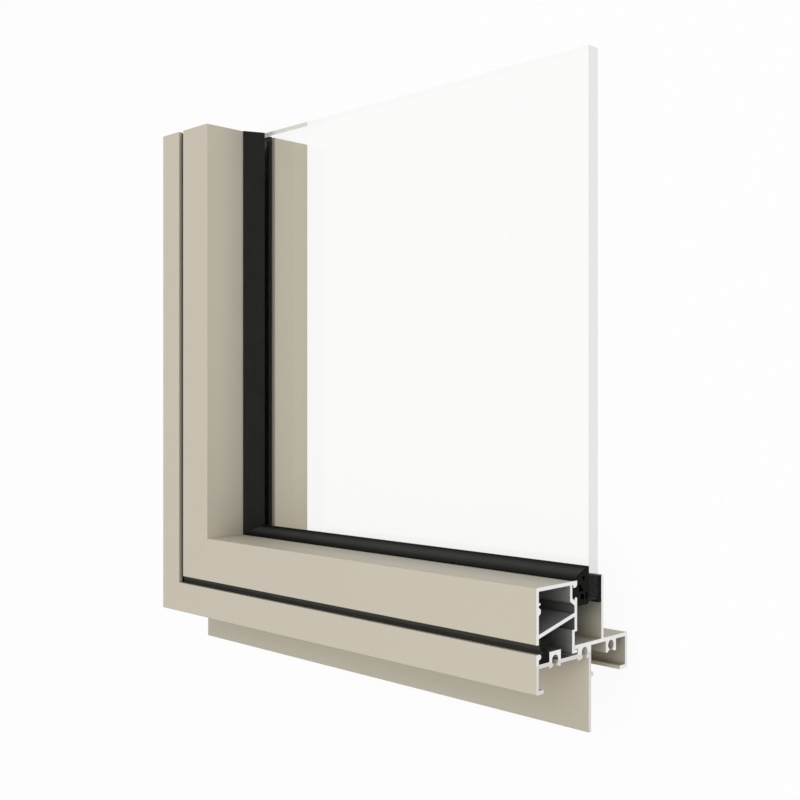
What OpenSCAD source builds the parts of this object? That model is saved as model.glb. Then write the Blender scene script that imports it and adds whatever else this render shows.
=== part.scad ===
// Corner sample of a fixed window: a sill and a jamb of extruded aluminium with clipped glazing beads,
// rubber gaskets and a pane of glass. It lies on its back, with the outside face up.
// Each section is drawn with u, the distance in from the frame's outer edge, and w, the depth behind
// the outside face. The sill runs along X and the jamb along Y.

/* [Sample] */
// Length of the sill and of the jamb, from the outer corner to the saw cut
leg = 250; // [160:5:400]
// Hairline left open at the mitred corner
mitre_gap = 0.04; // [0.02:0.02:0.4]
// Clearance of gaskets, glass and clipped lips in their seats
fit = 0.1; // [0.05:0.05:0.2]

/* [Frame] */
// Height of the outside flange
face_h = 15; // [14:0.5:20]
// Wall of the outside flange
face_t = 1.4; // [1.2:0.1:2]
// Wall of the webs
web_t = 1.5; // [1.2:0.1:1.8]
// Radius of the outside corners
corner_r = 0.4; // [0.2:0.1:0.6]
// Depth of the hook lip behind the top of the outside flange
hook_reach = 1.4; // [0.8:0.1:2]
// Height of the hook lip
hook_h = 2; // [1.4:0.1:2.4]
// Depth of the return lip at the foot of the outside flange
return_reach = 3.1; // [1:0.1:5]
// Height of the lower web's underside
low_web_u = 9.7; // [9:0.1:10]
// Length of the rebate nose that the bead hooks under
nose_reach = 2; // [1.5:0.1:3]
// Height of the upstand above the rebate
upstand_h = 25.4; // [22:0.2:30]
// Thickness of the upstand
upstand_t = 1.5; // [1.2:0.1:2]
// Depth of the sill behind the upstand
sill_rear = 16.8; // [15:0.1:20]
// Depth of the jamb's room-side box behind the upstand
jamb_rear = 23.3; // [22:0.1:30]
// Wall of the jamb's room-side box
box_t = 1.5; // [1.2:0.1:2]
// Radius of that box's corner behind the glass
box_r = 2; // [0.5:0.1:2.5]
// Wall at the back of the sill
back_t = 1.5; // [1.2:0.1:2]
// Width of the return lip at the foot of the back walls
back_lip = 5.4; // [3:0.1:7]
// Distance of the back walls' foot in from the outer edge
back_u = 0.5; // [0:0.1:2]

/* [Fixing fin] */
// Reach of the fin past the outer edge
fin_reach = 20.8; // [15:0.2:40]
// Thickness of the fin
fin_t = 1.5; // [1.2:0.1:2]
// Length of each fin past the outer corner
fin_crop = 6; // [2:0.5:12]
// Width of the plaster rib on the fin
fin_rib = 1.8; // [1:0.1:2.4]
// Distance of the plaster rib in from the outer edge
fin_rib_u = 1.9; // [1.3:0.1:4]

/* [Screw flutes] */
// Bore of a screw flute
flute_d = 3.9; // [3.4:0.1:4.2]
// Wall beside a screw flute
flute_t = 1.6; // [1.2:0.1:2]
// Mouth of the front and the rear flute
flute_mouth = 2.2; // [1.6:0.1:2.4]
// Mouth of the middle flute, beside the fin
middle_mouth = 2.6; // [2:0.1:2.7]
// Length of the toes past the bore
flute_toe = 0.8; // [0.5:0.1:1]
// Flare of a mouth, taken off the tip of each toe
flute_flare = 1.3; // [0.6:0.1:1.4]
// Depth of the first flute behind the outside face
flute_1_w = 11.4; // [10:0.1:12]
// Extra metal in front of the middle flute
flute_2_off = 0.9; // [0.2:0.1:1]
// Distance of the last flute's wall behind the upstand
flute_3_off = 1.6; // [1:0.1:3]

/* [Bead] */
// Sight line, from the outer edge to the top of the bead
sight = 40; // [38:0.5:50]
// Shadow gap between frame and bead
gap_h = 3.6; // [2:0.1:4]
// Depth of the bead
bead_depth = 25.4; // [23:0.2:30]
// Wall of the bead's face and top
bead_t = 1.4; // [1.2:0.1:1.8]
// Wall of the bead's back and foot
bead_back_t = 1.6; // [1.2:0.1:1.8]
// Step forward of the bead's lower back wall
bead_jog = 1.6; // [1.2:0.1:2]
// Height of that step above the rebate
jog_h = 5.4; // [4:0.2:6]
// Wall of that step
jog_t = 0.8; // [0.8:0.1:1.6]
// Wall of the slanting web
brace_t = 1.5; // [1.2:0.1:2]
// Height of the slanting web above the foot of the bead's face
brace_low = 2.9; // [2:0.1:4]
// Rise of the slanting web
brace_rise = 5.7; // [4:0.1:7]
// Thickness of the bead's hooked foot
foot_t = 1.2; // [0.8:0.1:1.3]
// Reach of the bead's foot under the nose
foot_reach = 1.8; // [1:0.1:1.8]
// Opening of the gasket groove
groove_open = 3.8; // [3:0.1:4.4]
// Depth of the gasket groove
groove_depth = 3.1; // [2.8:0.1:4]
// Height of the lips at the groove
groove_lip = 1.2; // [0.8:0.1:1.6]
// Radius of the stiffening bump behind the bead's face
bump_r = 1.4; // [0.8:0.1:1.8]
// Distance of that bump below the sight line
bump_down = 9; // [8:0.2:12]
// Reach of the thin rib behind the bead's face
rib_reach = 1; // [0.6:0.1:1.6]
// Thickness of the thin rib
rib_t = 0.9; // [0.6:0.1:1.2]

/* [Glass and gaskets] */
// Thickness of the glass
glass_t = 6; // [4:0.5:10]
// Cover of the glass edge below the sight line
glass_cover = 9; // [6:0.5:10]
// Room for the glazing gasket between bead and glass
gasket_w = 8; // [7:0.1:10]
// Height of the gasket's tip above the sight line
gasket_tip = 4.9; // [3:0.1:6]
// Lap of the gasket's lip over the top of the bead
gasket_lap = 2.9; // [1:0.1:3]
// Depth of the glazing gasket below the sight line
gasket_down = 10; // [9:0.2:10.6]
// Skin of the glazing gasket
gasket_skin = 1.1; // [0.8:0.1:1.3]
// Radius of the gasket's tip
gasket_tip_r = 0.6; // [0.4:0.1:0.8]
// Thickness of the back gasket
back_gasket_t = 2.3; // [1.5:0.1:4]
// Height of the back gasket
back_gasket_h = 10.7; // [6:0.1:12]
// Radius of the gap seal's bulb
seal_r = 2.4; // [2:0.1:2.5]
// Distance of the bulb behind the bead's face
seal_off = 0.6; // [0.4:0.1:0.8]
// Slack between the gap seal and the hook lip
seal_slack = 0.8; // [0.3:0.1:1.2]
// Width of the slit in the bulb
seal_slit = 0.7; // [0.4:0.1:1]

/* [Hidden] */
$fn = 48;
eps = 0.01;
// Overrun of the cuts
past = 1;

// Depths behind the outside face, from the front to the back
low_back_w = bead_depth - bead_jog;
nose_w = low_back_w + 2 * fit;
step_w = nose_w + nose_reach;
flute_2_w = step_w + flute_t + flute_2_off + flute_d / 2;
fin_w = flute_2_w + flute_d / 2 + flute_t / 2;
glass_w = bead_depth + gasket_w;
upstand_w = glass_w + glass_t + back_gasket_t;
rear_w = upstand_w + upstand_t;
sill_back_w = rear_w + sill_rear;
flute_3_w = rear_w + flute_3_off + flute_t + flute_d / 2;
depth = rear_w + jamb_rear;

// Distances in from the outer edge
web_u = face_h - web_t;
flute_u = web_u - flute_d / 2;
toe_u = web_u - flute_d - flute_toe;
low_web_top = low_web_u + web_t;
bead_u = face_h + gap_h;
jog_u = face_h + jog_h;
foot_u = web_u - 2 * fit - foot_t;
groove_top = sight - bead_t - groove_lip;
groove_low = groove_top - groove_open;
groove_w = bead_depth - groove_depth;
upstand_u = face_h + upstand_h;
glass_u = sight - glass_cover;

// Middle of the lying sample's footprint
centre = (leg - fin_reach) / 2;
// Length that passes every cut
long = leg + 2 * fin_reach + 4 * sight;

coat = [0.78, 0.755, 0.69];
rubber = [0.14, 0.145, 0.135];

// A point of a section
function at(u, w) = [u, depth - w];

// A straight wall of a section
module wall(u0, u1, w0, w1) {
    translate(at(u0, w1)) square([u1 - u0, w1 - w0]);
}

// A wall with one round end: along u to u1, or along w to w1
module lip_u(u0, u1, w0, w1) {
    r = (w1 - w0) / 2;
    wall(u0, u1 - r, w0, w1);
    translate(at(u1 - r, w0 + r)) circle(r);
}

module lip_w(u0, u1, w0, w1) {
    r = (u1 - u0) / 2;
    wall(u0, u1, w0, w1 - r);
    translate(at(u0 + r, w1 - r)) circle(r);
}

// What is taken off a sharp corner to round it; du and dw, 1 or -1, point into the metal
module rounding(u, w, du, dw, r = corner_r) {
    difference() {
        translate(at(u + du * r / 2, w + dw * r / 2)) square(r + 2 * eps, center = true);
        translate(at(u + du * r, w + dw * r)) circle(r);
    }
}

// Walls of a screw flute below the rebate, and its bore with a mouth that flares to front and back
module flute_walls(w) {
    wall(toe_u, web_u + eps, w - flute_d / 2 - flute_t, w + flute_d / 2 + flute_t);
}

module flute_bore(w, mouth, front, back) {
    lips = toe_u + flute_toe;
    translate(at(flute_u, w)) circle(flute_d / 2);
    wall(toe_u - past, flute_u, w - mouth / 2, w + mouth / 2);
    polygon([at(toe_u - eps, w + mouth / 2 + back), at(lips, w + mouth / 2), at(lips, w - mouth / 2),
             at(toe_u - eps, w - mouth / 2 - front)]);
}

module flute_bores() {
    flute_bore(flute_1_w, flute_mouth, flute_flare, flute_flare);
    flute_bore(flute_2_w, middle_mouth, flute_flare, 0);
    flute_bore(flute_3_w, flute_mouth, flute_flare, flute_flare);
}

// Outside flange, webs, flutes, fin and upstand, the same on sill and jamb but for the upstand's height
module outer_walls(top_u) {
    wall(0, face_h, 0, face_t);
    lip_w(face_h - hook_h, face_h, face_t - eps, face_t + hook_reach);
    lip_w(0, web_t, face_t - eps, face_t + return_reach);
    wall(low_web_u, low_web_top, face_t - eps, step_w + eps);
    flute_walls(flute_1_w);
    wall(web_u, face_h, flute_1_w - flute_d / 2 - flute_t, flute_1_w + flute_d / 2 + flute_t);
    wall(toe_u, face_h, step_w, flute_2_w - flute_d / 2 + eps);
    wall(toe_u, web_u + eps, step_w, fin_w + eps);
    wall(-fin_reach, web_u + eps, fin_w, fin_w + fin_t);
    lip_w(fin_rib_u - fin_rib / 2, fin_rib_u + fin_rib / 2, fin_w + fin_t - eps, fin_w + fin_t + fin_rib);
    wall(face_h - eps, top_u, upstand_w, rear_w);
    flute_walls(flute_3_w);
}

// Rebate, back wall and its lip, at the given depth
module rear_walls(back_w, t) {
    lip = min(back_lip, back_w - flute_3_w);
    wall(web_u, face_h, nose_w, back_w);
    wall(back_u, face_h, back_w - t, back_w);
    wall(back_u, back_u + t, back_w - lip, back_w);
}

// Round corners of the outside flange and of the fin's edge
module outer_roundings() {
    rounding(0, 0, 1, 1);
    rounding(face_h, 0, -1, 1);
    rounding(-fin_reach, fin_w, 1, 1);
    rounding(-fin_reach, fin_w + fin_t, 1, -1);
}

module sill_section() {
    difference() {
        union() {
            outer_walls(upstand_u);
            rear_walls(sill_back_w, back_t);
        }
        flute_bores();
        outer_roundings();
        rounding(face_h, sill_back_w, -1, -1);
        rounding(back_u, sill_back_w, 1, -1);
        rounding(upstand_u, upstand_w, -1, 1);
        rounding(upstand_u, rear_w, -1, -1);
    }
}

module jamb_section() {
    difference() {
        union() {
            outer_walls(sight);
            rear_walls(depth, box_t);
            wall(sight - box_t, sight, upstand_w, depth);
            wall(web_u, sight, depth - box_t, depth);
        }
        flute_bores();
        outer_roundings();
        rounding(sight, depth, -1, -1);
        rounding(sight, upstand_w, -1, 1, box_r);
        rounding(back_u, depth, 1, -1);
    }
}

// Bead with its hollow, gasket groove, slanting web and hooked foot
module bead_section() {
    difference() {
        bead_walls();
        rounding(bead_u, 0, 1, 1);
        rounding(sight, 0, -1, 1);
    }
}

module bead_walls() {
    brace_u = bead_u + brace_low;
    rib_u = sight - bump_down + bump_r + rib_t;
    floor_u = groove_low - 2 * groove_lip - brace_t / 2;
    wall(bead_u, sight, 0, bead_t);
    wall(sight - bead_t, sight, 0, bead_depth);
    lip_w(rib_u, rib_u + rib_t, bead_t - eps, bead_t + rib_reach);
    intersection() {
        translate(at(sight - bump_down, bead_t - bump_r / 8)) circle(bump_r);
        wall(sight - bump_down - bump_r, sight - bump_down + bump_r, bead_t / 2, bead_t + bump_r);
    }
    wall(groove_low - groove_lip, sight - eps, groove_w - bead_t, groove_w);
    lip_w(groove_top, sight - eps, groove_w + bead_t / 2, bead_depth);
    polygon([at(groove_low - groove_lip, groove_w - bead_t), at(floor_u, bead_depth - bead_back_t),
             at(floor_u, bead_depth), at(groove_low - groove_lip, bead_depth),
             at(groove_low - groove_lip, bead_depth - bead_back_t), at(groove_low - fit, groove_w),
             at(groove_low, groove_w - bead_t)]);
    lip_u(jog_u, groove_low, bead_depth - bead_back_t, bead_depth);
    wall(jog_u - eps, jog_u + jog_t, low_back_w - bead_back_t, bead_depth);
    wall(foot_u, jog_u + jog_t, low_back_w - bead_back_t, low_back_w);
    lip_w(foot_u, foot_u + foot_t, low_back_w - bead_back_t, low_back_w + foot_reach);
    polygon([at(brace_u - brace_t / 2, bead_t / 2),
             at(brace_u + brace_rise - brace_t / 2, bead_depth - bead_t / 2),
             at(brace_u + brace_rise + brace_t / 2, bead_depth - bead_t / 2),
             at(brace_u + brace_t / 2, bead_t / 2)]);
}

// Wedge gasket: barbed foot in the bead's groove, hollow body and a lip over the bead and on the glass
module glazing_section() {
    w0 = bead_depth + fit;
    w1 = glass_w - fit;
    low = sight - gasket_down;
    top = sight + fit;
    tip = sight + gasket_tip - gasket_tip_r;
    lap_w = bead_depth - gasket_lap;
    mid = (groove_low + groove_top) / 2;
    neck = groove_open / 2 - 2 * fit;
    barb = 2 * fit;
    soft = gasket_tip_r / 2;
    web_w = w1 - 2 * gasket_skin;
    difference() {
        union() {
            polygon([at(low, w0 + soft), at(low, w1 - gasket_skin), at(low + gasket_skin, w1), at(tip, w1),
                     at(tip, w1 - 2 * gasket_tip_r), at(top + gasket_tip_r, lap_w + soft), at(top, lap_w),
                     at(top, w0), at(low + soft, w0)]);
            translate(at(tip, w1 - gasket_tip_r)) circle(gasket_tip_r);
            wall(mid - neck, mid + neck, groove_w + fit, w0 + eps);
            wall(mid - neck - barb, mid + neck + barb, groove_w + fit, groove_w + bead_t / 2 - fit);
        }
        // Pair of lower chambers, either side of an upright web
        wall(low + 2 * gasket_skin, mid - gasket_skin, web_w - 3 * gasket_skin, web_w - gasket_skin);
        wall(low + 2 * gasket_skin, mid - gasket_skin / 2, web_w, web_w + gasket_skin);
        // Three-cornered chamber above the foot, and the wedge under the lip
        polygon([at(mid, w0 + gasket_skin), at(mid, web_w - gasket_skin),
                 at(sight - gasket_skin, w0 + gasket_skin)]);
        polygon([at(top + gasket_skin, web_w - 2.5 * gasket_skin),
                 at(sight - gasket_skin, web_w - gasket_skin),
                 at(top + gasket_skin, web_w - gasket_skin / 2)]);
        // Two hollows in the side against the glass, between its ribs
        for (rib_u = [sight - gasket_skin, sight + 1.5 * gasket_skin])
            translate(at(rib_u, w1)) circle(gasket_tip_r);
    }
}

// Flat strip between the glass and the upstand
module back_gasket_section() {
    wall(upstand_u - back_gasket_h, upstand_u - fit, upstand_w - back_gasket_t + fit, upstand_w - fit);
}

// Seal behind the shadow gap: a foot under the hook lip, a stem beside the first flute and a slit bulb
module gap_seal_section() {
    stem_w = face_t + hook_reach + seal_slack;
    side_w = flute_1_w - flute_d / 2 - flute_t - fit;
    bulb_u = bead_u - seal_slit;
    bulb_w = bead_t + seal_off + seal_r;
    slit_u = bulb_u - seal_r / 2;
    difference() {
        union() {
            wall(low_web_top + fit, face_h - hook_h - fit, face_t + fit, side_w);
            wall(low_web_top + fit, bulb_u, stem_w, bulb_w + seal_r);
            wall(low_web_top + fit, face_h, stem_w, side_w);
            translate(at(bulb_u, bulb_w)) circle(seal_r);
        }
        lip_w(slit_u - seal_slit / 2, slit_u + seal_slit / 2, bulb_w - seal_slit / 2, bulb_w + seal_r / 2);
    }
}

// Extrusions along the sill and along the jamb, cut square at the open end
module along_sill(start) {
    translate([start, 0, 0]) rotate([90, 0, 90]) linear_extrude(leg - start) children();
}

module along_jamb(start) {
    translate([0, leg, 0]) rotate([90, 0, 0]) linear_extrude(leg - start) children();
}

// Everything beyond the mitre on the jamb's side; mirrored, on the sill's side
module beyond_mitre(h0) {
    g = mitre_gap / sqrt(2);
    translate([0, 0, h0]) linear_extrude(depth - h0 + past)
        polygon([[-long, g - 2 * long], [-long, g - long], [long, g + long], [long, -2 * long]]);
}

module jamb_side(h0) {
    mirror([1, -1, 0]) beyond_mitre(h0);
}

// Toes of the mitred flutes, cut back at the corner to the middle of the other member's bore
module toe_relief() {
    for (w = [flute_1_w, flute_2_w])
        translate([-long, toe_u - past, depth - w - flute_d / 2 - fit])
            cube([long + flute_u + fit, flute_u - toe_u + past, flute_d + 2 * fit]);
}

// Lying frame, with its origin under the middle of the footprint
module laid() {
    translate([-centre, -centre, 0]) children();
}

module sill_frame() {
    color(coat) laid() difference() {
        along_sill(-fin_crop) sill_section();
        jamb_side(jamb_rear);
        toe_relief();
        translate([-long, -long, -past]) cube([long + sight + fit, 2 * long, jamb_rear + past + eps]);
    }
}

module jamb_frame() {
    color(coat) laid() difference() {
        along_jamb(-fin_crop) jamb_section();
        beyond_mitre(jamb_rear);
        mirror([1, -1, 0]) toe_relief();
        translate([-long, -long, -past]) cube([2 * long, long, jamb_rear + past + eps]);
    }
}

module sill_bead() {
    color(coat) laid() difference() {
        along_sill(0) bead_section();
        jamb_side(0);
    }
}

module jamb_bead() {
    color(coat) laid() difference() {
        along_jamb(0) bead_section();
        beyond_mitre(0);
    }
}

module sill_glazing_gasket() {
    color(rubber) laid() difference() {
        along_sill(0) glazing_section();
        jamb_side(0);
    }
}

module jamb_glazing_gasket() {
    color(rubber) laid() difference() {
        along_jamb(0) glazing_section();
        beyond_mitre(0);
    }
}

module sill_back_gasket() {
    color(rubber) laid() difference() {
        along_sill(0) back_gasket_section();
        jamb_side(0);
    }
}

module jamb_back_gasket() {
    color(rubber) laid() difference() {
        along_jamb(0) back_gasket_section();
        beyond_mitre(0);
    }
}

module sill_gap_seal() {
    color(rubber) laid() difference() {
        along_sill(0) gap_seal_section();
        jamb_side(0);
    }
}

module jamb_gap_seal() {
    color(rubber) laid() difference() {
        along_jamb(0) gap_seal_section();
        beyond_mitre(0);
    }
}

module glass_pane() {
    color([0.85, 0.9, 0.87, 0.4]) laid()
        translate([glass_u, glass_u, depth - glass_w - glass_t])
            cube([leg - glass_u, leg - glass_u, glass_t]);
}

sill_frame();
jamb_frame();
sill_bead();
jamb_bead();
sill_glazing_gasket();
jamb_glazing_gasket();
sill_back_gasket();
jamb_back_gasket();
sill_gap_seal();
jamb_gap_seal();
glass_pane();
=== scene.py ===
"""Looks of a window corner sample: coated sill and jamb, glazing beads, rubber gaskets and a clear pane.

The sample lies on its back. The sill runs along +X and the jamb along +Y, each to a saw cut, and the outside
face looks up along +Z. Lengths in this file are millimetres unless a name says otherwise.
"""
import logging
import math
from dataclasses import dataclass, field
from enum import Enum
from functools import reduce
from typing import Any, Mapping, Sequence, Union

import bmesh
import bpy
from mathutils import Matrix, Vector
from mathutils.geometry import tessellate_polygon


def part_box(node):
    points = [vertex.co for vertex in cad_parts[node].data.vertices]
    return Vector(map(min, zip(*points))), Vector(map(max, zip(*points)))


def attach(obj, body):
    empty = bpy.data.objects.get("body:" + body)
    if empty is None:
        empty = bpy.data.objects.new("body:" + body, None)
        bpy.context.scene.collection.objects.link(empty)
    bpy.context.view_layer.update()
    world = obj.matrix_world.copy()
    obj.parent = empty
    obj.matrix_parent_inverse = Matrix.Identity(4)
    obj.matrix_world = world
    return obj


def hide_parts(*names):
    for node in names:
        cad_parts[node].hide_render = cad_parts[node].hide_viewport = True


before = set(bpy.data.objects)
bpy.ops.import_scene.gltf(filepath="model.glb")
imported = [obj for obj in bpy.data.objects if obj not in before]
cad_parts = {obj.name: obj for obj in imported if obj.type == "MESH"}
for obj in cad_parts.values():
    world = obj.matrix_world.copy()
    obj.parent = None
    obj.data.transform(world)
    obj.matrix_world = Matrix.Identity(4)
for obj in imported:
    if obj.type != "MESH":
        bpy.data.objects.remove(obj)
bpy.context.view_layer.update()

LOG = logging.getLogger("window_corner")
MM = 0.001
TINY = 1e-6
BODY = "root"

Colour = tuple[float, float, float]
Point = tuple[float, float]
Corner = tuple[float, float, float]

WHITE: Colour = (1.0, 1.0, 1.0)


class Run(Enum):
    """Direction in which a member runs from the mitred corner; the value is the axis number."""

    SILL = 0
    JAMB = 1

    @property
    def prefix(self) -> str:
        """First word of the names of this member's pieces."""
        return self.name.lower()

    @property
    def across(self) -> int:
        """Axis number across the member, towards the glass."""
        return 1 - self.value

    def node(self, piece: str) -> str:
        """Name of one of this member's pieces."""
        return f"{self.prefix}_{piece}"


class Ray(Enum):
    """Kinds of ray that see the pale backdrop at full strength."""

    CAMERA = "Is Camera Ray"
    GLOSSY = "Is Glossy Ray"
    TRANSMISSION = "Is Transmission Ray"


class Value:
    """A number in a node tree. Arithmetic on it adds Math nodes."""

    def __init__(self, graph: "Graph", socket: bpy.types.NodeSocket) -> None:
        """Wraps an output socket of a graph."""
        self.graph = graph
        self.socket = socket

    def _math(self, operation: str, *terms: "Number") -> "Value":
        """Adds one Math node over the given terms."""
        node = self.graph.node("ShaderNodeMath", {"operation": operation}, dict(enumerate(terms)))
        return Value(self.graph, node.outputs[0])

    def __add__(self, other: "Number") -> "Value":
        """Sum."""
        return self._math("ADD", self, other)

    def __radd__(self, other: "Number") -> "Value":
        """Sum with a plain number first."""
        return self._math("ADD", other, self)

    def __sub__(self, other: "Number") -> "Value":
        """Difference."""
        return self._math("SUBTRACT", self, other)

    def __rsub__(self, other: "Number") -> "Value":
        """Difference with a plain number first."""
        return self._math("SUBTRACT", other, self)

    def __mul__(self, other: "Number") -> "Value":
        """Product."""
        return self._math("MULTIPLY", self, other)

    def __rmul__(self, other: "Number") -> "Value":
        """Product with a plain number first."""
        return self._math("MULTIPLY", other, self)

    def __pow__(self, power: "Number") -> "Value":
        """Power."""
        return self._math("POWER", self, power)

    def above(self, edge: "Number") -> "Value":
        """1 where the value is above the edge, and 0 elsewhere."""
        return self._math("GREATER_THAN", self, edge)

    def below(self, edge: "Number") -> "Value":
        """1 where the value is below the edge, and 0 elsewhere."""
        return self._math("LESS_THAN", self, edge)

    def between(self, low: "Number", high: "Number") -> "Value":
        """1 where the value lies between the two edges, and 0 elsewhere."""
        return self.above(low) * self.below(high)

    def either(self, other: "Number") -> "Value":
        """The larger of two masks."""
        return self._math("MAXIMUM", self, other)

    def sine(self) -> "Value":
        """Sine of the value in radians."""
        return self._math("SINE", self)

    def around(self, middle: "Number", swing: float) -> "Value":
        """The middle, give or take half of the swing as a noise goes from 0 to 1."""
        return middle + swing * (self - 0.5)


Number = Union[Value, float]
Link = Union[Value, bpy.types.NodeSocket, float, Sequence[float]]


class Graph:
    """The node tree of one material or of the world."""

    def __init__(self, tree: bpy.types.NodeTree) -> None:
        """Empties the tree and takes it over."""
        self.tree = tree
        tree.nodes.clear()

    def node(
        self,
        kind: str,
        settings: Mapping[str, Any] | None = None,
        sockets: Mapping[str | int, Link] | None = None,
    ) -> bpy.types.Node:
        """Adds a node.

        Args:
            kind: Type name of the node.
            settings: Properties of the node, which are set before its sockets.
            sockets: Values or links of the input sockets, by name or number.

        Returns:
            The new node.
        """
        made = self.tree.nodes.new(kind)
        for name, setting in (settings or {}).items():
            setattr(made, name, setting)
        for key, link in (sockets or {}).items():
            if isinstance(link, Value):
                link = link.socket
            if isinstance(link, bpy.types.NodeSocket):
                self.tree.links.new(link, made.inputs[key])
            else:
                made.inputs[key].default_value = link
        return made

    def value(self, kind: str, output: str | int, settings: Mapping[str, Any] | None = None,
              sockets: Mapping[str | int, Link] | None = None) -> Value:
        """Adds a node and wraps one of its outputs as a number.

        Args:
            kind: Type name of the node.
            output: Name or number of the output.
            settings: Properties of the node.
            sockets: Values or links of the input sockets.

        Returns:
            The wrapped output.
        """
        return Value(self, self.node(kind, settings, sockets).outputs[output])

    def noise(self, at: bpy.types.NodeSocket, per_mm: float, detail: float = 2.0) -> Value:
        """Noise from 0 to 1.

        Args:
            at: Point in millimetres.
            per_mm: Number of features in a millimetre.
            detail: Number of finer octaves.

        Returns:
            The noise.
        """
        return self.value("ShaderNodeTexNoise", 0, None, {"Vector": at, "Scale": per_mm, "Detail": detail})

    def drawn(self, at: bpy.types.NodeSocket, drag: float, per_mm: float, detail: float = 2.0) -> Value:
        """Noise from 0 to 1 that is drawn out along the run.

        Args:
            at: Point in millimetres, with the place along the run first.
            drag: Scale of the point along the run.
            per_mm: Number of lines in a millimetre.
            detail: Number of finer octaves.

        Returns:
            The noise.
        """
        return self.noise(self.stretch(at, (drag, 1.0, 1.0)), per_mm, detail)

    def ramp(self, at: Value, low: float, high: float) -> Value:
        """Smooth step from 0 at the low edge to 1 at the high one; it falls where low is the larger number.

        Args:
            at: The number that is stepped.
            low: Where the step is 0.
            high: Where the step is 1.

        Returns:
            The step.
        """
        sockets = {"Value": at, "From Min": low, "From Max": high}
        return self.value("ShaderNodeMapRange", 0, {"interpolation_type": "SMOOTHSTEP"}, sockets)

    def stretch(self, at: bpy.types.NodeSocket, by: Sequence[float]) -> bpy.types.NodeSocket:
        """Point scaled apart on each axis."""
        return self.node("ShaderNodeVectorMath", {"operation": "MULTIPLY"}, {0: at, 1: by}).outputs[0]

    def mix_colour(self, where: Number, first: Link, second: Link) -> bpy.types.NodeSocket:
        """Colour that goes from the first to the second.

        Args:
            where: 0 for the first colour and 1 for the second.
            first: Colour or colour socket.
            second: Colour or colour socket.

        Returns:
            The mixed colour.
        """
        pair = {6: rgba(first), 7: rgba(second)}
        return self.node("ShaderNodeMix", {"data_type": "RGBA"}, {0: where, **pair}).outputs[2]

    def mix_shader(self, where: Number, first: bpy.types.Node, second: bpy.types.Node) -> bpy.types.Node:
        """Shader that goes from the first to the second.

        Args:
            where: 0 for the first shader and 1 for the second.
            first: Shader node.
            second: Shader node.

        Returns:
            The Mix Shader node.
        """
        pair = {1: first.outputs[0], 2: second.outputs[0]}
        return self.node("ShaderNodeMixShader", None, {0: where, **pair})

    def rays(self) -> Value:
        """1 for the rays that see the pale backdrop at full strength, and 0 for the rest."""
        path = self.node("ShaderNodeLightPath")
        return reduce(Value.either, (Value(self, path.outputs[kind.value]) for kind in Ray))

    def show(self, shader: bpy.types.Node, output: str = "ShaderNodeOutputMaterial") -> None:
        """Joins a shader to the tree's output."""
        self.node(output, None, {"Surface": shader.outputs[0]})


def rgba(colour: Link) -> Link:
    """A plain colour with its alpha; a link stays as it is."""
    return (*colour, 1.0) if isinstance(colour, tuple) else colour


def new_material(name: str) -> tuple[bpy.types.Material, Graph]:
    """Adds an empty material.

    Args:
        name: Name of the material.

    Returns:
        The material and its graph.
    """
    material = bpy.data.materials.new(name)
    material.use_nodes = True
    return material, Graph(material.node_tree)


@dataclass
class Layer:
    """What a finish gives the shader at each point of a surface."""

    colour: bpy.types.NodeSocket
    roughness: Value
    metallic: Number
    relief: Value

    def covered(self, by: "Layer", where: Value) -> "Layer":
        """This layer with another one over part of it.

        Args:
            by: The layer on top.
            where: 1 where the layer on top shows.

        Returns:
            The joined layer.
        """
        graph = where.graph
        keep = 1.0 - where
        return Layer(
            graph.mix_colour(where, self.colour, by.colour),
            keep * self.roughness + where * by.roughness,
            keep * self.metallic + where * by.metallic,
            keep * self.relief + where * by.relief,
        )

    def shader(self, specular: float) -> bpy.types.Node:
        """A Principled shader with this layer's looks.

        Args:
            specular: Strength of the plain gloss.

        Returns:
            The shader node.
        """
        graph = self.roughness.graph
        bump = graph.node("ShaderNodeBump", None, {"Strength": 1.0, "Distance": MM, "Height": self.relief})
        sockets = {"Base Color": self.colour, "Roughness": self.roughness, "Metallic": self.metallic,
                   "Normal": bump.outputs[0], "Specular IOR Level": specular}
        return graph.node("ShaderNodeBsdfPrincipled", None, sockets)


@dataclass(frozen=True)
class Place:
    """Where a point lies on a member: past its saw cut, below the sight line and behind the outside face."""

    along: Value
    below: Value
    depth: Value
    point: bpy.types.NodeSocket

    @classmethod
    def on(cls, graph: Graph, run: Run) -> "Place":
        """Place of the shaded point on a member.

        Args:
            graph: Graph of the material.
            run: The member.

        Returns:
            The place, in millimetres.
        """
        bead_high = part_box(run.node("bead"))[1]
        coords = graph.node("ShaderNodeTexCoord").outputs["Object"]
        xyz = graph.node("ShaderNodeSeparateXYZ", None, {0: coords})
        axis = [Value(graph, xyz.outputs[i]) for i in range(3)]
        along = (axis[run.value] - bead_high[run.value]) * (1.0 / MM)
        below = (bead_high[run.across] - axis[run.across]) * (1.0 / MM)
        depth = (bead_high.z - axis[2]) * (1.0 / MM)
        point = graph.node("ShaderNodeCombineXYZ", None, {0: along, 1: below, 2: depth}).outputs[0]
        return cls(along, below, depth, point)


@dataclass(frozen=True)
class Region:
    """A rectangle in a member's section, in millimetres of Place; it may fade in along below."""

    below: Point
    depth: Point
    strength: float = 1.0
    fade: Point | None = None

    def mask(self, place: Place) -> Value:
        """The region's strength inside it, and 0 elsewhere."""
        mask = self.strength * place.below.between(*self.below) * place.depth.between(*self.depth)
        return mask * mask.graph.ramp(place.below, *self.fade) if self.fade else mask

    @staticmethod
    def any(regions: Sequence["Region"], place: Place) -> Value:
        """The strongest of the regions' masks."""
        return reduce(Value.either, (region.mask(place) for region in regions))


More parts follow.
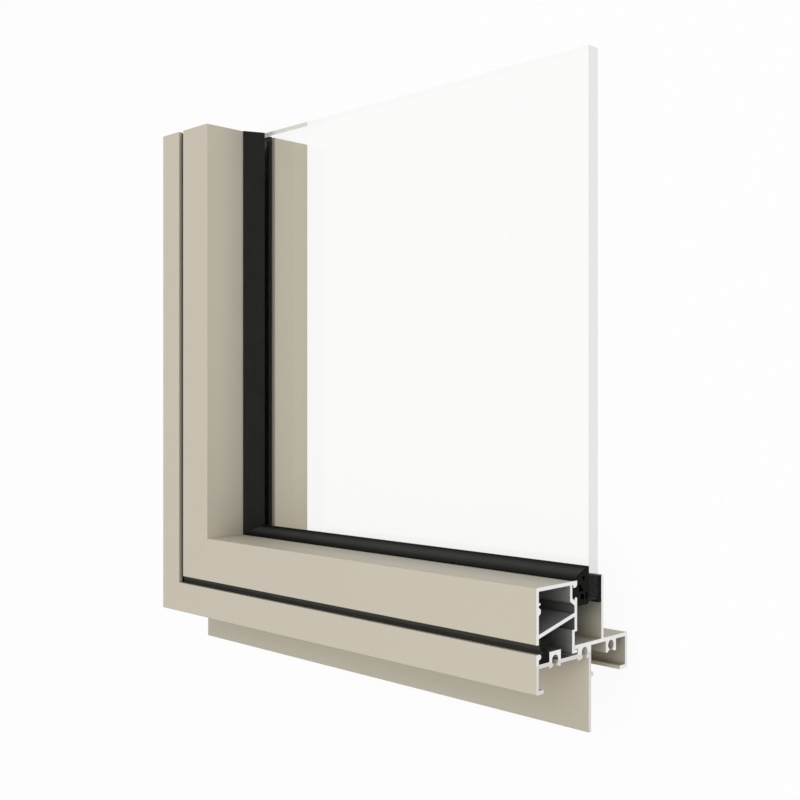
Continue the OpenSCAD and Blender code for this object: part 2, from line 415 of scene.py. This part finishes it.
@dataclass(frozen=True)
class PowderCoat:
    """Satin powder coat: even colour, faint cloud, orange peel, traces of the die; painted shade and light
    in places.
    """

    colour: Colour = (0.536, 0.490, 0.398)
    cloud: Colour = (0.551, 0.506, 0.413)
    cloud_per_mm: float = 0.03
    cloud_share: float = 0.7
    # Painted shade: colour drawn into recesses and on the fin, where shade falls.
    recess_shade: Colour = (0.375, 0.352, 0.287)
    recess_shade_swing: float = 1.0
    # Painted light: a paler coat on the side of the jamb's box behind the pane.
    paler: Colour = (0.600, 0.550, 0.440)
    # Painted shade: a darker coat along the reveal towards the gasket and in the inner corner, mottled by
    # the cloud; it also roughens the coat there.
    dust: Colour = (0.290, 0.268, 0.225)
    dust_swing: float = 0.4
    dust_rough: float = 0.10
    dust_depth: Point = (5.0, 24.0)
    dust_most: float = 0.465
    corner_shade_along: Point = (180.0, 212.0)
    corner_shade_depth: Point = (2.0, 10.0)
    corner_shade_most: float = 0.2
    reveal_below: float = 0.3
    reveal_depth: float = 26.0
    roughness: float = 0.52
    peel_per_mm: float = 0.9
    peel_mm: float = 0.010
    peel_rough: float = 0.10
    die_drag: float = 0.004
    die_per_mm: float = 2.2
    die_mm: float = 0.003
    die_rough: float = 0.08

    def layer(self, graph: Graph, place: Place, shaded_recesses: Sequence[Region], contact_shade: Sequence[Region],
              painted_light: Sequence[Region]) -> Layer:
        """The coat on a member.

        Args:
            graph: Graph of the material.
            place: Place of the point.
            shaded_recesses: Parts of the section where shade is painted as a darker coat.
            contact_shade: Parts of the section where the shade of the gasket and the box is painted darker.
            painted_light: Parts of the section where light is painted as a paler coat.

        Returns:
            The layer.
        """
        peel = graph.noise(place.point, self.peel_per_mm)
        cloud = graph.noise(place.point, self.cloud_per_mm)
        die = graph.drawn(place.point, self.die_drag, self.die_per_mm)
        # Painted shade in the inner corner, and deeper along the reveal towards the gasket.
        corner = graph.ramp(0.0 - place.along, *self.corner_shade_along)
        corner = corner * graph.ramp(place.depth, *self.corner_shade_depth)
        reveal = place.below.below(self.reveal_below) * place.depth.below(self.reveal_depth)
        dust = self.dust_most * graph.ramp(place.depth, *self.dust_depth) + self.corner_shade_most * corner
        dust = dust * cloud.around(1.0, self.dust_swing) * reveal
        # Painted shade where the gasket and the jamb's box shade the upstand.
        dust = dust.either(Region.any(contact_shade, place))
        clouded = self.cloud_share * cloud + (1.0 - self.cloud_share) * peel
        # Painted shade in recesses and on the fin, mottled by the die lines.
        recess_shade_mask = Region.any(shaded_recesses, place) * die.around(1.0, self.recess_shade_swing)
        colour = graph.mix_colour(clouded, self.colour, self.cloud)
        # Painted light on the side of the jamb's box.
        colour = graph.mix_colour(Region.any(painted_light, place), colour, self.paler)
        colour = graph.mix_colour(recess_shade_mask, colour, self.recess_shade)
        colour = graph.mix_colour(dust, colour, self.dust)
        roughness = die.around(peel.around(self.roughness, self.peel_rough), self.die_rough)
        relief = self.peel_mm * peel + self.die_mm * die
        return Layer(colour, roughness + self.dust_rough * dust, 0.0, relief)


@dataclass(frozen=True)
class SawnMetal:
    """Bare aluminium at a saw cut, with the arcs that the blade leaves."""

    colour: Colour = (0.87, 0.868, 0.855)
    shade: Colour = (0.76, 0.76, 0.75)
    # Darker colour on the cut of the lower leg and the fin.
    lower_tone: Colour = (0.64, 0.63, 0.60)
    lower_tone_at: Region = Region((29.0, 70.0), (-1.0, 36.0), 0.8)
    roughness: float = 0.42
    polish: float = 0.14
    blade_below: float = -150.0
    blade_depth: float = 160.0
    pitch: float = 0.55
    chatter_turn: float = 7.0
    chatter_per_mm: float = 0.35
    scratch_per_mm: float = 6.0
    scratch_share: float = 0.4
    mark_mm: float = 0.006

    def layer(self, graph: Graph, place: Place) -> Layer:
        """The cut face of a member.

        Args:
            graph: Graph of the material.
            place: Place of the point.

        Returns:
            The layer.
        """
        radius = ((place.below - self.blade_below) ** 2 + (place.depth - self.blade_depth) ** 2) ** 0.5
        chatter = graph.noise(place.point, self.chatter_per_mm)
        arcs = 0.5 + 0.5 * (radius * (math.tau / self.pitch) + self.chatter_turn * chatter).sine()
        scratch = graph.noise(place.point, self.scratch_per_mm)
        marks = (1.0 - self.scratch_share) * arcs + self.scratch_share * scratch
        colour = graph.mix_colour(marks, self.shade, self.colour)
        colour = graph.mix_colour(self.lower_tone_at.mask(place), colour, self.lower_tone)
        return Layer(colour, self.roughness - self.polish * marks, 1.0, self.mark_mm * marks)


@dataclass(frozen=True)
class MillFinish:
    """Uncoated aluminium inside a hollow that the powder doesn't reach: dull grey, drawn along the run."""

    colour: Colour = (0.54, 0.54, 0.535)
    shade: Colour = (0.36, 0.36, 0.355)
    # Painted shade: a darker colour for the shaded parts of a hollow.
    hollow_shade: Colour = (0.20, 0.20, 0.195)
    roughness: float = 0.38
    metallic: float = 0.75
    line_drag: float = 0.006
    line_per_mm: float = 1.6
    line_detail: float = 4.0
    line_rough: float = 0.2
    line_mm: float = 0.006

    def layer(self, graph: Graph, place: Place, hollow_shade_parts: Sequence[Region]) -> Layer:
        """The inside of a hollow.

        Args:
            graph: Graph of the material.
            place: Place of the point.
            hollow_shade_parts: Parts of the section where shade in the hollow is painted darker.

        Returns:
            The layer.
        """
        lines = graph.drawn(place.point, self.line_drag, self.line_per_mm, self.line_detail)
        colour = graph.mix_colour(lines, self.shade, self.colour)
        # Painted shade in parts of the hollow.
        colour = graph.mix_colour(Region.any(hollow_shade_parts, place), colour, self.hollow_shade)
        metallic = self.metallic + (1.0 - self.metallic) * lines
        return Layer(colour, self.roughness + self.line_rough * lines, metallic, self.line_mm * lines)


@dataclass(frozen=True)
class Inside:
    """The hollows of a profile, and where shade is painted darker in them."""

    hollows: tuple[Region, ...]
    hollow_shade_parts: tuple[Region, ...]


@dataclass(frozen=True)
class CoatedExtrusion:
    """Finish of an aluminium profile: coat outside, mill finish in hollows, bare metal at the saw cut."""

    coat: PowderCoat = PowderCoat()
    sawn: SawnMetal = SawnMetal()
    mill: MillFinish = MillFinish()
    cut_mm: float = 0.05
    specular: float = 0.30
    # Painted shade: in these parts the coat is drawn darker, where shade falls.
    shaded_recesses: tuple[Region, ...] = (
        Region((9.8, 26.6), (25.0, 42.0)),  # glazing pocket
        Region((26.4, 38.2), (36.0, 70.0)),  # lining rebate
        Region((24.6, 25.4), (43.8, 60.0), 0.4),  # web behind the upstand
        Region((26.4, 70.0), (32.3, 40.0), 0.52, (36.0, 58.0)),  # fin, towards its free edge
        Region((24.6, 25.4), (1.2, 3.2)),  # top of the hook lip
    )
    # Painted shade: the upstand is drawn darker where the gasket and the jamb's box shade it.
    contact_shade: tuple[Region, ...] = (
        Region((-0.6, 2.4), (41.4, 43.75)),  # top of the upstand and rounded corner of the jamb's box
        Region((9.8, 18.0), (41.0, 42.0), 1.0, (18.0, 11.5)),  # upstand under its gasket
    )
    # Painted light: the side of the jamb's box seen through the pane is drawn paler.
    painted_light: tuple[Region, ...] = (
        Region((-0.6, 0.6), (43.75, 70.0)),  # side of the jamb's box, seen through the pane
    )

    def material(self, name: str, run: Run, inside: Inside, length: float) -> bpy.types.Material:
        """Makes the finish for one profile.

        Args:
            name: Name of the material.
            run: The member.
            inside: The profile's hollows.
            length: Distance between the two saw cuts, or from the saw cut to a mitre.

        Returns:
            The material.
        """
        material, graph = new_material(name)
        place = Place.on(graph, run)
        layer = self.coat.layer(graph, place, self.shaded_recesses, self.contact_shade, self.painted_light)
        bare = self.mill.layer(graph, place, inside.hollow_shade_parts)
        layer = layer.covered(bare, Region.any(inside.hollows, place))
        ends = place.along.above(-self.cut_mm).either(place.along.below(self.cut_mm - length))
        layer = layer.covered(self.sawn.layer(graph, place), ends)
        graph.show(layer.shader(self.specular))
        return material


@dataclass(frozen=True)
class Film:
    """Lighter tone on a gasket: even everywhere, and a painted highlight along the middle of its slope."""

    even: float
    band: float


@dataclass(frozen=True)
class GasketRubber:
    """Matt black rubber: a little bloom, fine grain, die traces, painted highlight and shade, a paler cut
    end.
    """

    colour: Colour = (0.0045, 0.0046, 0.0041)
    bloom: Colour = (0.011, 0.0112, 0.0102)
    cloud_per_mm: float = 0.12
    cloud_detail: float = 4.0
    cloud_share: float = 0.55
    cut: Colour = (0.0120, 0.0122, 0.0114)
    cut_mm: float = 0.05
    cut_rough: float = 0.3
    # Painted shade: the faces inside the gasket's chambers are drawn near black.
    chamber_shade: Colour = (0.0010, 0.0010, 0.0010)
    chambers: Region = Region((-1.4, 8.1), (26.5, 32.3))
    # Lighter colour for the even tone and for the painted highlight along the slope.
    dust: Colour = (0.040, 0.0405, 0.0375)
    dust_swing: float = 0.4
    band_rise: Point = (23.2, 27.4)
    band_fall: Point = (28.8, 31.4)
    roughness: float = 0.50
    grain_per_mm: float = 4.5
    grain_mm: float = 0.006
    grain_rough: float = 0.16
    die_drag: float = 0.01
    die_per_mm: float = 1.8
    die_mm: float = 0.008
    die_rough: float = 0.12
    specular: float = 0.02

    def material(self, name: str, run: Run, film: Film) -> bpy.types.Material:
        """Makes the rubber for one member's gaskets.

        Args:
            name: Name of the material.
            run: The member.
            film: Lighter tone on the gaskets, with a painted highlight.

        Returns:
            The material.
        """
        material, graph = new_material(name)
        place = Place.on(graph, run)
        grain = graph.noise(place.point, self.grain_per_mm)
        die = graph.drawn(place.point, self.die_drag, self.die_per_mm)
        cloud = graph.noise(place.point, self.cloud_per_mm, self.cloud_detail)
        paler = place.along.above(-self.cut_mm)
        band = graph.ramp(place.depth, *self.band_rise) * (1.0 - graph.ramp(place.depth, *self.band_fall))
        # Painted highlight along the middle of the slope, plus an even lighter tone, mottled by the cloud.
        dust = (film.even + film.band * band) * cloud.around(1.0, self.dust_swing)
        clouded = self.cloud_share * cloud + (1.0 - self.cloud_share) * die
        colour = graph.mix_colour(clouded, self.colour, self.bloom)
        colour = graph.mix_colour(dust, colour, self.dust)
        # Painted shade inside the chambers.
        colour = graph.mix_colour(self.chambers.mask(place), colour, self.chamber_shade)
        colour = graph.mix_colour(paler, colour, self.cut)
        roughness = die.around(grain.around(self.roughness, self.grain_rough), self.die_rough)
        relief = self.grain_mm * grain + self.die_mm * die
        layer = Layer(colour, roughness + self.cut_rough * paler, 0.0, relief)
        graph.show(layer.shader(self.specular))
        return material


@dataclass(frozen=True)
class FloatGlass:
    """Clear float glass, seen straight through, with faint grime, a polished top and a ground right edge."""

    tint: Colour = (0.986, 0.988, 0.983)
    edge_tint: Colour = (0.825, 0.83, 0.82)
    edge_colour: Colour = (0.62, 0.68, 0.65)
    edge_mm: float = 0.30
    edge_haze: float = 0.02
    edge_gloss: float = 0.15
    edge_rough: float = 0.45
    inner_mirror: float = 0.60
    level_least: float = 0.9
    gloss: float = 0.04
    gloss_power: float = 5.0
    gloss_rough: float = 0.02
    grime_per_mm: float = 0.02
    grime_detail: float = 5.0
    grime_most: float = 0.2

    def material(self, name: str, pane: str) -> bpy.types.Material:
        """Makes the glass.

        Args:
            name: Name of the material.
            pane: Name of the pane's node.

        Returns:
            The material.
        """
        material, graph = new_material(name)
        low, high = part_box(pane)
        coords = graph.node("ShaderNodeTexCoord").outputs["Object"]
        point = graph.stretch(coords, (1.0 / MM,) * 3)
        xyz = graph.node("ShaderNodeSeparateXYZ", None, {0: point})
        across, up = (Value(graph, xyz.outputs[axis]) for axis in (0, 1))
        right = across.above(high.x / MM - self.edge_mm)
        top = up.above(high.y / MM - self.edge_mm)
        hidden = across.below(low.x / MM + self.edge_mm).either(up.below(low.y / MM + self.edge_mm))
        edge = right.either(top).either(hidden)
        geometry = graph.node("ShaderNodeNewGeometry")
        normal = graph.node("ShaderNodeSeparateXYZ", None, {0: geometry.outputs["True Normal"]})
        level = (Value(graph, normal.outputs[1]) ** 2).above(self.level_least)
        inside = Value(graph, geometry.outputs["Backfacing"])
        # At a blend of one half, Facing is 1 less the cosine of the viewing angle.
        facing = graph.value("ShaderNodeLayerWeight", "Facing", None, {"Blend": 0.5})
        grime = graph.noise(point, self.grime_per_mm, self.grime_detail)
        gloss = self.gloss + (1.0 - self.gloss) * facing ** self.gloss_power
        gloss = gloss * (1.0 - (1.0 - self.edge_gloss) * edge)
        gloss = gloss * (1.0 - self.grime_most + self.grime_most * grime)
        gloss = gloss.either(self.inner_mirror * top * level * inside)
        clear = graph.node("ShaderNodeBsdfTransparent", None, {"Color": rgba(self.tint)})
        ground = graph.node("ShaderNodeBsdfTransparent", None, {"Color": rgba(self.edge_tint)})
        shine = {"Color": rgba(WHITE), "Roughness": self.gloss_rough}
        mirror = graph.node("ShaderNodeBsdfGlossy", None, shine)
        frosted = {"Base Color": rgba(self.edge_colour), "Roughness": self.edge_rough}
        frost = graph.node("ShaderNodeBsdfPrincipled", None, frosted)
        body = graph.mix_shader(gloss, graph.mix_shader(right, clear, ground), mirror)
        graph.show(graph.mix_shader(edge * self.edge_haze, body, frost))
        return material


def fillet(outline: Sequence[Corner], steps: int = 4, share: float = 0.45) -> list[Point]:
    """Rounds the corners of a closed outline.

    Args:
        outline: Corners as (height, depth, radius).
        steps: Number of straight pieces in a rounded corner.
        share: Largest part of a side that one corner takes up.

    Returns:
        Points of the rounded outline.
    """
    points: list[Point] = []
    for i, (a, b, radius) in enumerate(outline):
        corner = Vector((a, b))
        before = Vector(outline[i - 1][:2]) - corner
        after = Vector(outline[(i + 1) % len(outline)][:2]) - corner
        half = before.angle(after) / 2.0
        reach = min(radius / math.tan(half), share * before.length, share * after.length)
        if reach < TINY:
            points.append((a, b))
            continue
        start = corner + before.normalized() * reach
        end = corner + after.normalized() * reach
        for k in range(steps + 1):
            t = k / steps
            bend = start.lerp(corner, t).lerp(corner.lerp(end, t), t)
            points.append((bend.x, bend.y))
    return points


def arc(centre: Point, radius: float, start: float, end: float, steps: int) -> list[Point]:
    """Points along an arc.

    Args:
        centre: Middle of the arc as (height, depth).
        radius: Radius of the arc.
        start: First angle in degrees.
        end: Last angle in degrees.
        steps: Number of straight pieces.

    Returns:
        The points, both ends included.
    """
    angles = [math.radians(start + (end - start) * k / steps) for k in range(steps + 1)]
    return [(centre[0] + radius * math.cos(t), centre[1] + radius * math.sin(t)) for t in angles]


@dataclass
class RubberStrip:
    """A rubber profile that stands for a solid strip of one member, from the mitre to the saw cut.

    The section's points are (height, depth) in millimetres from the lowest and foremost edge of that strip.
    """

    run: Run
    piece: str = ""
    mitre_gap: float = 0.04
    sharp_deg: float = 38.0
    obj: bpy.types.Object | None = field(default=None, init=False)

    @property
    def node(self) -> str:
        """Name of the strip that this profile stands for."""
        return self.run.node(self.piece)

    def size(self) -> Point:
        """Height and depth of the strip's section in millimetres."""
        low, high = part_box(self.node)
        return (high[self.run.across] - low[self.run.across]) / MM, (high.z - low.z) / MM

    def loops(self) -> list[list[Point]]:
        """Outline of the section, followed by the outlines of its chambers."""
        raise NotImplementedError

    def _verts(self, loops: Sequence[Sequence[Point]]) -> list[list[float]]:
        """Places of the section's points, first at the mitre and then at the saw cut.

        Args:
            loops: Outlines of the section.

        Returns:
            The places in metres.
        """
        low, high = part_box(self.node)
        gap = self.mitre_gap * MM / math.sqrt(2.0)
        verts = []
        for at_cut in (False, True):
            for height, depth in (point for loop in loops for point in loop):
                across = low[self.run.across] + height * MM
                place = [0.0, 0.0, high.z - depth * MM]
                place[self.run.value] = high[self.run.value] if at_cut else across + gap
                place[self.run.across] = across
                verts.append(place)
        return verts

    @staticmethod
    def _faces(loops: Sequence[Sequence[Point]]) -> list[tuple[int, ...]]:
        """Faces of the two ends and of the walls between them.

        Args:
            loops: Outlines of the section.

        Returns:
            The faces as numbers of the points.
        """
        count = sum(len(loop) for loop in loops)
        caps = tessellate_polygon([[Vector((a, b, 0.0)) for a, b in loop] for loop in loops])
        faces = [tuple(t) for t in caps] + [tuple(i + count for i in reversed(t)) for t in caps]
        first = 0
        for loop in loops:
            for k in range(len(loop)):
                i, j = first + k, first + (k + 1) % len(loop)
                faces.append((i, i + count, j + count, j))
            first += len(loop)
        return faces

    def build(self) -> bpy.types.Object:
        """Sweeps the section along the member.

        Returns:
            The new piece, riding on the part in place of the plain strip.
        """
        loops = self.loops()
        mesh = bpy.data.meshes.new(f"{self.node}_rubber")
        mesh.from_pydata(self._verts(loops), [], self._faces(loops))
        mesh.validate()
        self.obj = bpy.data.objects.new(f"{self.node}_rubber", mesh)
        bpy.context.scene.collection.objects.link(self.obj)
        outward(mesh)
        mesh.shade_smooth()
        mesh.set_sharp_from_angle(angle=math.radians(self.sharp_deg))
        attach(self.obj, BODY)
        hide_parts(self.node)
        return self.obj

    def dress(self, material: bpy.types.Material) -> None:
        """Gives the profile its rubber."""
        self.obj.data.materials.append(material)


def outward(mesh: bpy.types.Mesh) -> None:
    """Turns all faces of a closed mesh outwards.

    Args:
        mesh: The mesh.
    """
    work = bmesh.new()
    work.from_mesh(mesh)
    bmesh.ops.recalc_face_normals(work, faces=work.faces)
    work.to_mesh(mesh)
    work.free()


@dataclass
class GlazingGasket(RubberStrip):
    """Wedge gasket: barbed foot in the bead's groove, chambered body, lip on the bead, ribs on the glass."""

    piece: str = "glazing_gasket"
    body_front: float = 3.1
    sight: float = 10.1
    neck_low: float = 3.8
    neck_high: float = 7.2
    barb: float = 0.2
    barb_depth: float = 0.5
    barb_slope: float = 0.3
    heel: float = 0.3
    lap: float = 0.1
    lip_rise: float = 0.6
    lip_depth: float = 0.3
    tip: float = 1.2
    skin: float = 1.1
    rib_depth: float = 0.45
    rib_half: float = 0.6
    ribs: tuple[float, ...] = (3.6, 6.2, 8.9, 11.6)
    crease: float = 0.64
    crease_half: float = 0.07
    crease_depth: float = 0.12

    def _glass_side(self) -> list[Corner]:
        """Draws the heel and the ribbed side that lies on the glass.

        Returns:
            The corners, from the heel up.
        """
        skin, back = self.skin, self.size()[1]
        corners = [(0.0, self.body_front + self.heel, 0.3), (0.0, back - skin, 0.5), (skin, back, 0.4)]
        for rib in self.ribs:
            corners += [
                (rib - self.rib_half, back, 0.25),
                (rib, back - self.rib_depth, 0.3),
                (rib + self.rib_half, back, 0.25),
            ]
        return corners

    def _slope(self) -> list[Corner]:
        """Draws the nose, the creased slope and the lip on the bead.

        Returns:
            The corners, from the glass to the body's front.
        """
        top, back = self.size()
        nose = Vector((top, back - self.tip))
        lip = Vector((self.sight + self.lip_rise, self.lap + self.lip_depth))
        slope = nose - lip
        inwards = Vector((-slope.y, slope.x)).normalized()
        dent = lip + self.crease * slope + self.crease_depth * inwards
        above = lip + (self.crease + self.crease_half) * slope
        under = lip + (self.crease - self.crease_half) * slope
        return [
            (top, back, 0.6), (*nose, 0.55), (*above, 0.4), (*dent, 0.2), (*under, 0.4), (*lip, 0.4),
            (self.sight, self.lap, 0.2), (self.sight, self.body_front, 0.3),
        ]

    def _foot(self) -> list[Corner]:
        """Draws the barbed foot in the bead's groove, and the body below it.

        Returns:
            The corners, from the top down.
        """
        front, low, high = self.body_front, self.neck_low, self.neck_high
        shoulder = self.barb_depth + self.barb_slope
        return [
            (high, front, 0.2), (high, shoulder, 0.1),
            (high + self.barb, self.barb_depth, 0.1), (high + self.barb, 0.0, 0.15),
            (low - self.barb, 0.0, 0.15), (low - self.barb, self.barb_depth, 0.1),
            (low, shoulder, 0.1), (low, front, 0.2),
            (self.heel, front, 0.25),
        ]

    def _chambers(self) -> list[list[Corner]]:
        """Draws the four chambers.

        Returns:
            The corners of each chamber.
        """
        skin, back = self.skin, self.size()[1]
        front = self.body_front + skin
        web = back - 2.0 * skin
        middle = (self.neck_low + self.neck_high) / 2.0
        floor, shelf, roof = 2.0 * skin, middle - skin, self.sight - 1.1 * skin
        peak = self.sight + skin
        return [
            [(floor, web - 3.0 * skin, 0.5), (floor, web - skin, 0.5), (shelf, web - skin, 0.5),
             (shelf, web - 3.0 * skin, 0.5)],
            [(floor, web, 0.4), (floor, web + skin, 0.4), (shelf + 0.5 * skin, web + skin, 0.4),
             (shelf + 0.5 * skin, web, 0.4)],
            [(middle, front, 0.4), (middle, web - skin, 0.3), (roof, front, 0.3)],
            [(peak, web - 2.5 * skin, 0.3), (roof, web - skin, 0.3), (peak, web - 0.5 * skin, 0.3)],
        ]

    def loops(self) -> list[list[Point]]:
        """Outlines of the gasket and of its four chambers."""
        outline = self._glass_side() + self._slope() + self._foot()
        return [fillet(corners) for corners in (outline, *self._chambers())]


@dataclass
class BackGasket(RubberStrip):
    """Flat strip between the glass and the upstand, grooved on both faces."""

    piece: str = "back_gasket"
    corner_r: float = 0.3
    groove_r: float = 0.15
    groove_depth: float = 0.4
    groove_half: float = 0.5
    grooves: int = 4

    def loops(self) -> list[list[Point]]:
        """Draws the strip.

        Returns:
            The strip's outline.
        """
        top, back = self.size()
        half, soft, bottom = self.groove_half, self.groove_r, back - self.groove_depth
        places = [top * (k + 1) / (self.grooves + 1) for k in range(self.grooves)]
        outline = [(0.0, 0.0, self.corner_r), (0.0, back, self.corner_r)]
        for at in places:
            outline += [(at - half, back, soft), (at, bottom, soft), (at + half, back, soft)]
        outline += [(top, back, self.corner_r), (top, 0.0, self.corner_r)]
        for at in reversed(places):
            outline += [(at + half, 0.0, soft), (at, self.groove_depth, soft), (at - half, 0.0, soft)]
        return [fillet(outline)]


@dataclass
class GapSeal(RubberStrip):
    """Seal behind the shadow gap: foot under the hook, stem beside the flute, and a slit bulb."""

    piece: str = "gap_seal"
    foot_h: float = 1.6
    stem_front: float = 2.1
    block_h: float = 3.7
    bulb_r: float = 2.4
    bulb_depth: float = 2.9
    bulb_steps: int = 28
    corner_r: float = 0.3
    neck_r: float = 0.2
    slit: float = 0.7
    slit_start: float = 0.1
    slit_steps: int = 8

    def loops(self) -> list[list[Point]]:
        """Draws the seal and the slit in its bulb.

        Returns:
            The two outlines.
        """
        top, back = self.size()
        centre = (top - self.bulb_r, self.bulb_depth)
        bulb_back = self.bulb_depth + self.bulb_r
        lean = math.degrees(math.asin((self.bulb_depth - self.stem_front) / self.bulb_r))
        soft = self.corner_r
        foot = fillet([
            (self.foot_h, self.stem_front, 0.0), (self.foot_h, 0.0, soft), (0.0, 0.0, soft),
            (0.0, back, soft), (self.block_h, back, soft), (self.block_h, bulb_back, self.neck_r),
        ])
        bulb = arc(centre, self.bulb_r, 90.0, -180.0 + lean, self.bulb_steps)
        slit_h = centre[0] - self.bulb_r / 2.0
        half = self.slit / 2.0
        slit_end = self.bulb_depth + self.bulb_r / 2.0 - half
        slit = arc((slit_h, self.bulb_depth + self.slit_start), half, 180.0, 360.0, self.slit_steps)
        slit += arc((slit_h, slit_end), half, 0.0, 180.0, self.slit_steps)
        return [foot + bulb, slit]


SEAL_SEAT = Region((24.8, 28.9), (3.2, 22.0))


@dataclass
class Member:
    """A sill or a jamb: frame, bead and their rubber."""

    run: Run
    film: Film
    finish: CoatedExtrusion = CoatedExtrusion()
    rubber: GasketRubber = GasketRubber()
    seal_rubber: GasketRubber = GasketRubber(
        colour=(0.024, 0.0250, 0.0212), bloom=(0.058, 0.0598, 0.0502)
    )
    # Painted shade over the whole seal seat behind the shadow gap.
    in_frame: Inside = Inside(hollows=(SEAL_SEAT,), hollow_shade_parts=(SEAL_SEAT,))
    in_bead: Inside = Inside(
        hollows=(Region((0.7, 28.0), (0.7, 23.0)), Region((0.7, 19.3), (0.7, 24.6))),
        # Painted shade on the inside of the bead's back wall.
        hollow_shade_parts=(Region((6.4, 19.3), (22.5, 24.6)),),
    )
    strips: list[RubberStrip] = field(default_factory=list, init=False)

    def build(self) -> None:
        """Sweeps the member's rubber profiles."""
        self.strips = [kind(run=self.run) for kind in (GlazingGasket, BackGasket, GapSeal)]
        for strip in self.strips:
            piece = strip.build()
            LOG.info("built %s with %d faces", piece.name, len(piece.data.polygons))

    def dress(self) -> None:
        """Finishes the two profiles and the rubber."""
        for piece, inside in (("frame", self.in_frame), ("bead", self.in_bead)):
            name = self.run.node(piece)
            low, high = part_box(name)
            length = (high[self.run.value] - low[self.run.value]) / MM
            paint(name, self.finish.material(f"{name}_coat", self.run, inside, length))
            LOG.info("dressed %s", name)
        black = self.rubber.material(self.run.node("rubber"), self.run, self.film)
        unshaded = Film(even=0.0, band=0.0)
        grey = self.seal_rubber.material(self.run.node("seal_rubber"), self.run, unshaded)
        for strip in self.strips:
            strip.dress(grey if isinstance(strip, GapSeal) else black)
            LOG.info("dressed %s", strip.obj.name)


@dataclass
class Pane:
    """The sheet of glass with its small ground edges."""

    node: str = "glass_pane"
    finish: FloatGlass = FloatGlass()
    arris: float = 0.25
    weld: float = 0.001

    def build(self) -> None:
        """Joins the sheet's faces and grinds its edges."""
        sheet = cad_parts[self.node]
        sheet.modifiers.new("joined_faces", "WELD").merge_threshold = self.weld * MM
        bevel = sheet.modifiers.new("arris", "BEVEL")
        bevel.width = self.arris * MM
        bevel.segments = 1
        LOG.info("ground the edges of %s", self.node)

    def dress(self) -> None:
        """Gives the sheet its glass."""
        paint(self.node, self.finish.material("float_glass", self.node))
        LOG.info("dressed %s", self.node)


def paint(node: str, material: bpy.types.Material) -> None:
    """Puts one material in every slot of a CAD node.

    Args:
        node: Name of the node.
        material: The material.
    """
    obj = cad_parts[node]
    if not obj.material_slots:
        obj.data.materials.append(material)
    for slot in obj.material_slots:
        slot.material = material


@dataclass(frozen=True)
class Lamp:
    """A square soft lamp that looks at the part."""

    name: str
    power_w: float
    size_m: float
    at_m: tuple[float, float, float]

    def hang(self) -> None:
        """Adds the lamp to the scene."""
        light = bpy.data.lights.new(self.name, "AREA")
        light.energy = self.power_w
        light.size = self.size_m
        lamp = bpy.data.objects.new(self.name, light)
        lamp.location = self.at_m
        lamp.rotation_euler = Vector(self.at_m).to_track_quat("Z", "Y").to_euler()
        bpy.context.scene.collection.objects.link(lamp)
        LOG.info("hung the lamp %s", self.name)


@dataclass
class Studio:
    """Pale floor, soft light from above and the camera."""

    floor_half_m: float = 40.0
    floor_drop_m: float = 0.0002
    floor_glow: float = 0.93
    floor_light: float = 0.80
    floor_colour: Colour = (0.80, 0.80, 0.80)
    sky: float = 0.32
    lamp: Lamp = Lamp("softbox", power_w=46.0, size_m=2.4, at_m=(0.56, 0.10, 2.1))
    camera_at_m: tuple[float, float, float] = (0.39189, -0.00449, 0.39485)
    camera_tilt_deg: float = 45.0
    lens: float = 50.0
    sensor: float = 36.0

    def build(self) -> None:
        """Sets up floor, world, lamp and camera."""
        self._floor()
        self._world()
        self.lamp.hang()
        self._camera()
        bpy.context.scene.view_settings.view_transform = "Standard"

    def _floor(self) -> None:
        """Lays a white floor that keeps a soft shadow."""
        half = self.floor_half_m
        mesh = bpy.data.meshes.new("floor")
        corners = [(-half, -half, 0.0), (half, -half, 0.0), (half, half, 0.0), (-half, half, 0.0)]
        mesh.from_pydata(corners, [], [(0, 1, 2, 3)])
        floor = bpy.data.objects.new("floor", mesh)
        floor.location.z = -self.floor_drop_m
        bpy.context.scene.collection.objects.link(floor)
        material, graph = new_material("pale_floor")
        matt = graph.node("ShaderNodeBsdfDiffuse", None, {"Color": rgba(self.floor_colour)})
        glow = graph.node("ShaderNodeEmission", None, {"Color": rgba(WHITE), "Strength": 1.0})
        seen = graph.rays()
        graph.show(graph.mix_shader(self.floor_glow * seen + self.floor_light * (1.0 - seen), matt, glow))
        mesh.materials.append(material)
        LOG.info("laid the floor")

    def _world(self) -> None:
        """Lights the scene evenly, with a white backdrop."""
        world = bpy.data.worlds.new("studio")
        bpy.context.scene.world = world
        world.use_nodes = True
        graph = Graph(world.node_tree)
        strength = self.sky + (1.0 - self.sky) * graph.rays()
        sky = graph.node("ShaderNodeBackground", None, {"Color": rgba(WHITE), "Strength": strength})
        graph.show(sky, "ShaderNodeOutputWorld")

    def _camera(self) -> None:
        """Stands the camera over the cut end, looking down at the corner."""
        lens = bpy.data.cameras.new("camera")
        lens.lens = self.lens
        lens.sensor_width = self.sensor
        camera = bpy.data.objects.new("camera", lens)
        camera.location = self.camera_at_m
        camera.rotation_euler = (0.0, math.radians(self.camera_tilt_deg), 0.0)
        bpy.context.scene.collection.objects.link(camera)
        bpy.context.scene.camera = camera
        LOG.info("set the camera")


def main() -> None:
    """Builds and dresses the sample, then sets up the studio."""
    logging.basicConfig(level=logging.INFO, format="%(name)s: %(message)s")
    sill = Member(Run.SILL, Film(even=0.0, band=0.95))
    jamb = Member(Run.JAMB, Film(even=0.33, band=0.0))
    for member in (sill, jamb):
        member.build()
        member.dress()
    pane = Pane()
    pane.build()
    pane.dress()
    Studio().build()


if __name__ == "__main__":
    main()
